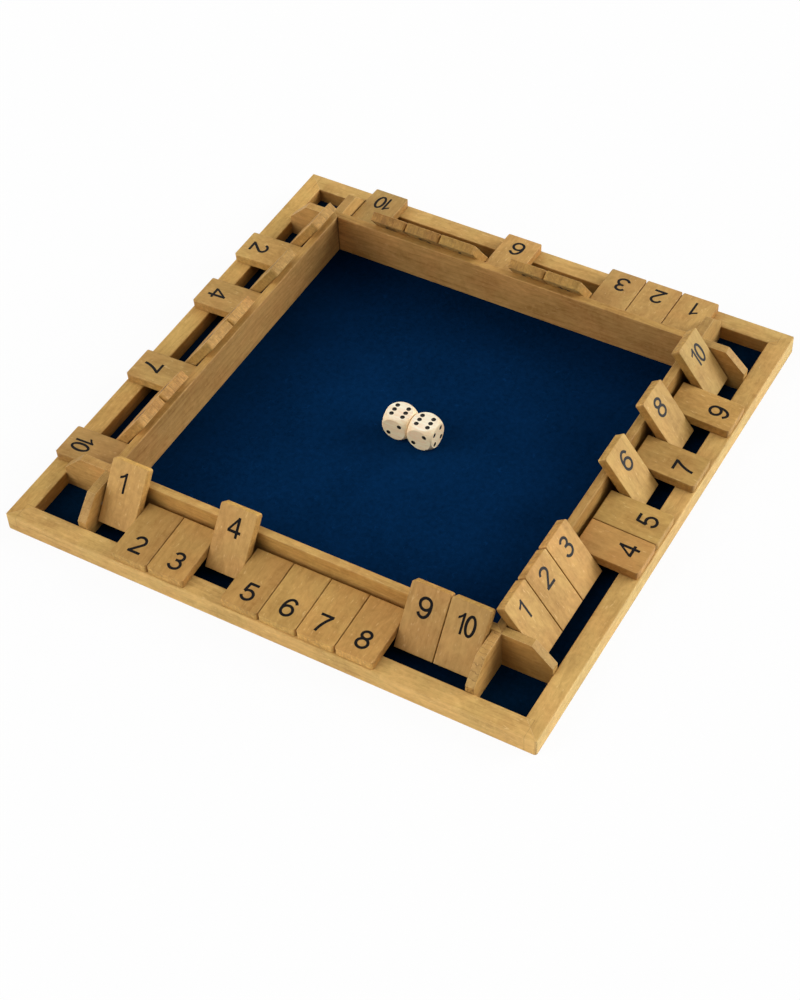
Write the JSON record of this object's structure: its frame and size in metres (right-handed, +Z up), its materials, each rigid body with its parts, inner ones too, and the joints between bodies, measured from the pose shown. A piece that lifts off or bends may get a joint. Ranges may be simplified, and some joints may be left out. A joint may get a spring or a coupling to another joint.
{
  "type": "four-player shut the box game",
  "caption": "Low square wooden dice tray lined with felt; a row of flip-over number tiles turns on a rod along each side, between end blocks.",
  "frame": {"origin": "centre of the underside, on the surface that the game stands on", "axes": "+Z up, +X to the right along the front row, +Y from the front row to the back row"},
  "size_m": [0.3302, 0.3302, 0.04],
  "materials": {
    "frame_wood": "satin",
    "tile_wood": "satin",
    "block_wood": "satin",
    "die_wood": "satin",
    "felt": "matte",
    "base_board": "matte",
    "rod": "satin"
  },
  "bodies": {
    "frame": {"base_board": "base_board", "felt_lining": "felt", "outer_rail_front": "frame_wood", "outer_rail_right": "frame_wood", "outer_rail_back": "frame_wood", "outer_rail_left": "frame_wood", "inner_rail_front": "frame_wood", "inner_rail_right": "frame_wood", "inner_rail_back": "frame_wood", "inner_rail_left": "frame_wood", "end_blocks_front": "block_wood", "end_blocks_right": "block_wood", "end_blocks_back": "block_wood", "end_blocks_left": "block_wood", "hinge_rod_front": "rod", "hinge_rod_right": "rod", "hinge_rod_back": "rod", "hinge_rod_left": "rod"},
    "tile_front_01": {"tile_front_01": "tile_wood"},
    "tile_front_02": {"tile_front_02": "tile_wood"},
    "tile_front_03": {"tile_front_03": "tile_wood"},
    "tile_front_04": {"tile_front_04": "tile_wood"},
    "tile_front_05": {"tile_front_05": "tile_wood"},
    "tile_front_06": {"tile_front_06": "tile_wood"},
    "tile_front_07": {"tile_front_07": "tile_wood"},
    "tile_front_08": {"tile_front_08": "tile_wood"},
    "tile_front_09": {"tile_front_09": "tile_wood"},
    "tile_front_10": {"tile_front_10": "tile_wood"},
    "tile_right_01": {"tile_right_01": "tile_wood"},
    "tile_right_02": {"tile_right_02": "tile_wood"},
    "tile_right_03": {"tile_right_03": "tile_wood"},
    "tile_right_04": {"tile_right_04": "tile_wood"},
    "tile_right_05": {"tile_right_05": "tile_wood"},
    "tile_right_06": {"tile_right_06": "tile_wood"},
    "tile_right_07": {"tile_right_07": "tile_wood"},
    "tile_right_08": {"tile_right_08": "tile_wood"},
    "tile_right_09": {"tile_right_09": "tile_wood"},
    "tile_right_10": {"tile_right_10": "tile_wood"},
    "tile_back_01": {"tile_back_01": "tile_wood"},
    "tile_back_02": {"tile_back_02": "tile_wood"},
    "tile_back_03": {"tile_back_03": "tile_wood"},
    "tile_back_04": {"tile_back_04": "tile_wood"},
    "tile_back_05": {"tile_back_05": "tile_wood"},
    "tile_back_06": {"tile_back_06": "tile_wood"},
    "tile_back_07": {"tile_back_07": "tile_wood"},
    "tile_back_08": {"tile_back_08": "tile_wood"},
    "tile_back_09": {"tile_back_09": "tile_wood"},
    "tile_back_10": {"tile_back_10": "tile_wood"},
    "tile_left_01": {"tile_left_01": "tile_wood"},
    "tile_left_02": {"tile_left_02": "tile_wood"},
    "tile_left_03": {"tile_left_03": "tile_wood"},
    "tile_left_04": {"tile_left_04": "tile_wood"},
    "tile_left_05": {"tile_left_05": "tile_wood"},
    "tile_left_06": {"tile_left_06": "tile_wood"},
    "tile_left_07": {"tile_left_07": "tile_wood"},
    "tile_left_08": {"tile_left_08": "tile_wood"},
    "tile_left_09": {"tile_left_09": "tile_wood"},
    "tile_left_10": {"tile_left_10": "tile_wood"},
    "die_left": {"die_left": "die_wood"},
    "die_right": {"die_right": "die_wood"}
  },
  "joints": [
    {"name": "front_01_flip", "type": "hinge", "parent": "frame", "child": "tile_front_01", "pos_m": [-0.10575, -0.13595, 0.0156], "axis": [1, 0, 0], "range_deg": [0, 129.2]},
    {"name": "front_02_flip", "type": "hinge", "parent": "frame", "child": "tile_front_02", "pos_m": [-0.08225, -0.13595, 0.0156], "axis": [-1, 0, 0], "range_deg": [0, 129.2]},
    {"name": "front_03_flip", "type": "hinge", "parent": "frame", "child": "tile_front_03", "pos_m": [-0.05875, -0.13595, 0.0156], "axis": [-1, 0, 0], "range_deg": [0, 129.2]},
    {"name": "front_04_flip", "type": "hinge", "parent": "frame", "child": "tile_front_04", "pos_m": [-0.03525, -0.13595, 0.0156], "axis": [1, 0, 0], "range_deg": [0, 129.2]},
    {"name": "front_05_flip", "type": "hinge", "parent": "frame", "child": "tile_front_05", "pos_m": [-0.01175, -0.13595, 0.0156], "axis": [-1, 0, 0], "range_deg": [0, 129.2]},
    {"name": "front_06_flip", "type": "hinge", "parent": "frame", "child": "tile_front_06", "pos_m": [0.01175, -0.13595, 0.0156], "axis": [-1, 0, 0], "range_deg": [0, 129.2]},
    {"name": "front_07_flip", "type": "hinge", "parent": "frame", "child": "tile_front_07", "pos_m": [0.03525, -0.13595, 0.0156], "axis": [-1, 0, 0], "range_deg": [0, 129.2]},
    {"name": "front_08_flip", "type": "hinge", "parent": "frame", "child": "tile_front_08", "pos_m": [0.05875, -0.13595, 0.0156], "axis": [-1, 0, 0], "range_deg": [0, 129.2]},
    {"name": "front_09_flip", "type": "hinge", "parent": "frame", "child": "tile_front_09", "pos_m": [0.08225, -0.13595, 0.0156], "axis": [1, 0, 0], "range_deg": [0, 129.2]},
    {"name": "front_10_flip", "type": "hinge", "parent": "frame", "child": "tile_front_10", "pos_m": [0.10575, -0.13595, 0.0156], "axis": [1, 0, 0], "range_deg": [0, 129.2]},
    {"name": "right_01_flip", "type": "hinge", "parent": "frame", "child": "tile_right_01", "pos_m": [0.13595, -0.10575, 0.0156], "axis": [0, 1, 0], "range_deg": [0, 129.2]},
    {"name": "right_02_flip", "type": "hinge", "parent": "frame", "child": "tile_right_02", "pos_m": [0.13595, -0.08225, 0.0156], "axis": [0, 1, 0], "range_deg": [0, 129.2]},
    {"name": "right_03_flip", "type": "hinge", "parent": "frame", "child": "tile_right_03", "pos_m": [0.13595, -0.05875, 0.0156], "axis": [0, 1, 0], "range_deg": [0, 129.2]},
    {"name": "right_04_flip", "type": "hinge", "parent": "frame", "child": "tile_right_04", "pos_m": [0.13595, -0.03525, 0.0156], "axis": [0, -1, 0], "range_deg": [0, 129.2]},
    {"name": "right_05_flip", "type": "hinge", "parent": "frame", "child": "tile_right_05", "pos_m": [0.13595, -0.01175, 0.0156], "axis": [0, -1, 0], "range_deg": [0, 129.2]},
    {"name": "right_06_flip", "type": "hinge", "parent": "frame", "child": "tile_right_06", "pos_m": [0.13595, 0.01175, 0.0156], "axis": [0, 1, 0], "range_deg": [0, 129.2]},
    {"name": "right_07_flip", "type": "hinge", "parent": "frame", "child": "tile_right_07", "pos_m": [0.13595, 0.03525, 0.0156], "axis": [0, -1, 0], "range_deg": [0, 129.2]},
    {"name": "right_08_flip", "type": "hinge", "parent": "frame", "child": "tile_right_08", "pos_m": [0.13595, 0.05875, 0.0156], "axis": [0, 1, 0], "range_deg": [0, 129.2]},
    {"name": "right_09_flip", "type": "hinge", "parent": "frame", "child": "tile_right_09", "pos_m": [0.13595, 0.08225, 0.0156], "axis": [0, -1, 0], "range_deg": [0, 129.2]},
    {"name": "right_10_flip", "type": "hinge", "parent": "frame", "child": "tile_right_10", "pos_m": [0.13595, 0.10575, 0.0156], "axis": [0, 1, 0], "range_deg": [0, 129.2]},
    {"name": "back_01_flip", "type": "hinge", "parent": "frame", "child": "tile_back_01", "pos_m": [0.10575, 0.13595, 0.0156], "axis": [1, 0, 0], "range_deg": [0, 129.2]},
    {"name": "back_02_flip", "type": "hinge", "parent": "frame", "child": "tile_back_02", "pos_m": [0.08225, 0.13595, 0.0156], "axis": [1, 0, 0], "range_deg": [0, 129.2]},
    {"name": "back_03_flip", "type": "hinge", "parent": "frame", "child": "tile_back_03", "pos_m": [0.05875, 0.13595, 0.0156], "axis": [1, 0, 0], "range_deg": [0, 129.2]},
    {"name": "back_04_flip", "type": "hinge", "parent": "frame", "child": "tile_back_04", "pos_m": [0.03525, 0.13595, 0.0156], "axis": [-1, 0, 0], "range_deg": [0, 129.2]},
    {"name": "back_05_flip", "type": "hinge", "parent": "frame", "child": "tile_back_05", "pos_m": [0.01175, 0.13595, 0.0156], "axis": [-1, 0, 0], "range_deg": [0, 129.2]},
    {"name": "back_06_flip", "type": "hinge", "parent": "frame", "child": "tile_back_06", "pos_m": [-0.01175, 0.13595, 0.0156], "axis": [1, 0, 0], "range_deg": [0, 129.2]},
    {"name": "back_07_flip", "type": "hinge", "parent": "frame", "child": "tile_back_07", "pos_m": [-0.03525, 0.13595, 0.0156], "axis": [-1, 0, 0], "range_deg": [0, 129.2]},
    {"name": "back_08_flip", "type": "hinge", "parent": "frame", "child": "tile_back_08", "pos_m": [-0.05875, 0.13595, 0.0156], "axis": [-1, 0, 0], "range_deg": [0, 129.2]},
    {"name": "back_09_flip", "type": "hinge", "parent": "frame", "child": "tile_back_09", "pos_m": [-0.08225, 0.13595, 0.0156], "axis": [-1, 0, 0], "range_deg": [0, 129.2]},
    {"name": "back_10_flip", "type": "hinge", "parent": "frame", "child": "tile_back_10", "pos_m": [-0.10575, 0.13595, 0.0156], "axis": [1, 0, 0], "range_deg": [0, 129.2]},
    {"name": "left_01_flip", "type": "hinge", "parent": "frame", "child": "tile_left_01", "pos_m": [-0.13595, 0.10575, 0.0156], "axis": [0, -1, 0], "range_deg": [0, 129.2]},
    {"name": "left_02_flip", "type": "hinge", "parent": "frame", "child": "tile_left_02", "pos_m": [-0.13595, 0.08225, 0.0156], "axis": [0, 1, 0], "range_deg": [0, 129.2]},
    {"name": "left_03_flip", "type": "hinge", "parent": "frame", "child": "tile_left_03", "pos_m": [-0.13595, 0.05875, 0.0156], "axis": [0, -1, 0], "range_deg": [0, 129.2]},
    {"name": "left_04_flip", "type": "hinge", "parent": "frame", "child": "tile_left_04", "pos_m": [-0.13595, 0.03525, 0.0156], "axis": [0, 1, 0], "range_deg": [0, 129.2]},
    {"name": "left_05_flip", "type": "hinge", "parent": "frame", "child": "tile_left_05", "pos_m": [-0.13595, 0.01175, 0.0156], "axis": [0, -1, 0], "range_deg": [0, 129.2]},
    {"name": "left_06_flip", "type": "hinge", "parent": "frame", "child": "tile_left_06", "pos_m": [-0.13595, -0.01175, 0.0156], "axis": [0, -1, 0], "range_deg": [0, 129.2]},
    {"name": "left_07_flip", "type": "hinge", "parent": "frame", "child": "tile_left_07", "pos_m": [-0.13595, -0.03525, 0.0156], "axis": [0, 1, 0], "range_deg": [0, 129.2]},
    {"name": "left_08_flip", "type": "hinge", "parent": "frame", "child": "tile_left_08", "pos_m": [-0.13595, -0.05875, 0.0156], "axis": [0, -1, 0], "range_deg": [0, 129.2]},
    {"name": "left_09_flip", "type": "hinge", "parent": "frame", "child": "tile_left_09", "pos_m": [-0.13595, -0.08225, 0.0156], "axis": [0, -1, 0], "range_deg": [0, 129.2]},
    {"name": "left_10_flip", "type": "hinge", "parent": "frame", "child": "tile_left_10", "pos_m": [-0.13595, -0.10575, 0.0156], "axis": [0, 1, 0], "range_deg": [0, 129.2]},
    {"name": "die_left_lift", "type": "slide", "parent": "frame", "child": "die_left", "axis": [0, 0, 1], "range_m": [0, 0.06]},
    {"name": "die_right_lift", "type": "slide", "parent": "frame", "child": "die_right", "axis": [0, 0, 1], "range_m": [0, 0.06]}
  ]
}
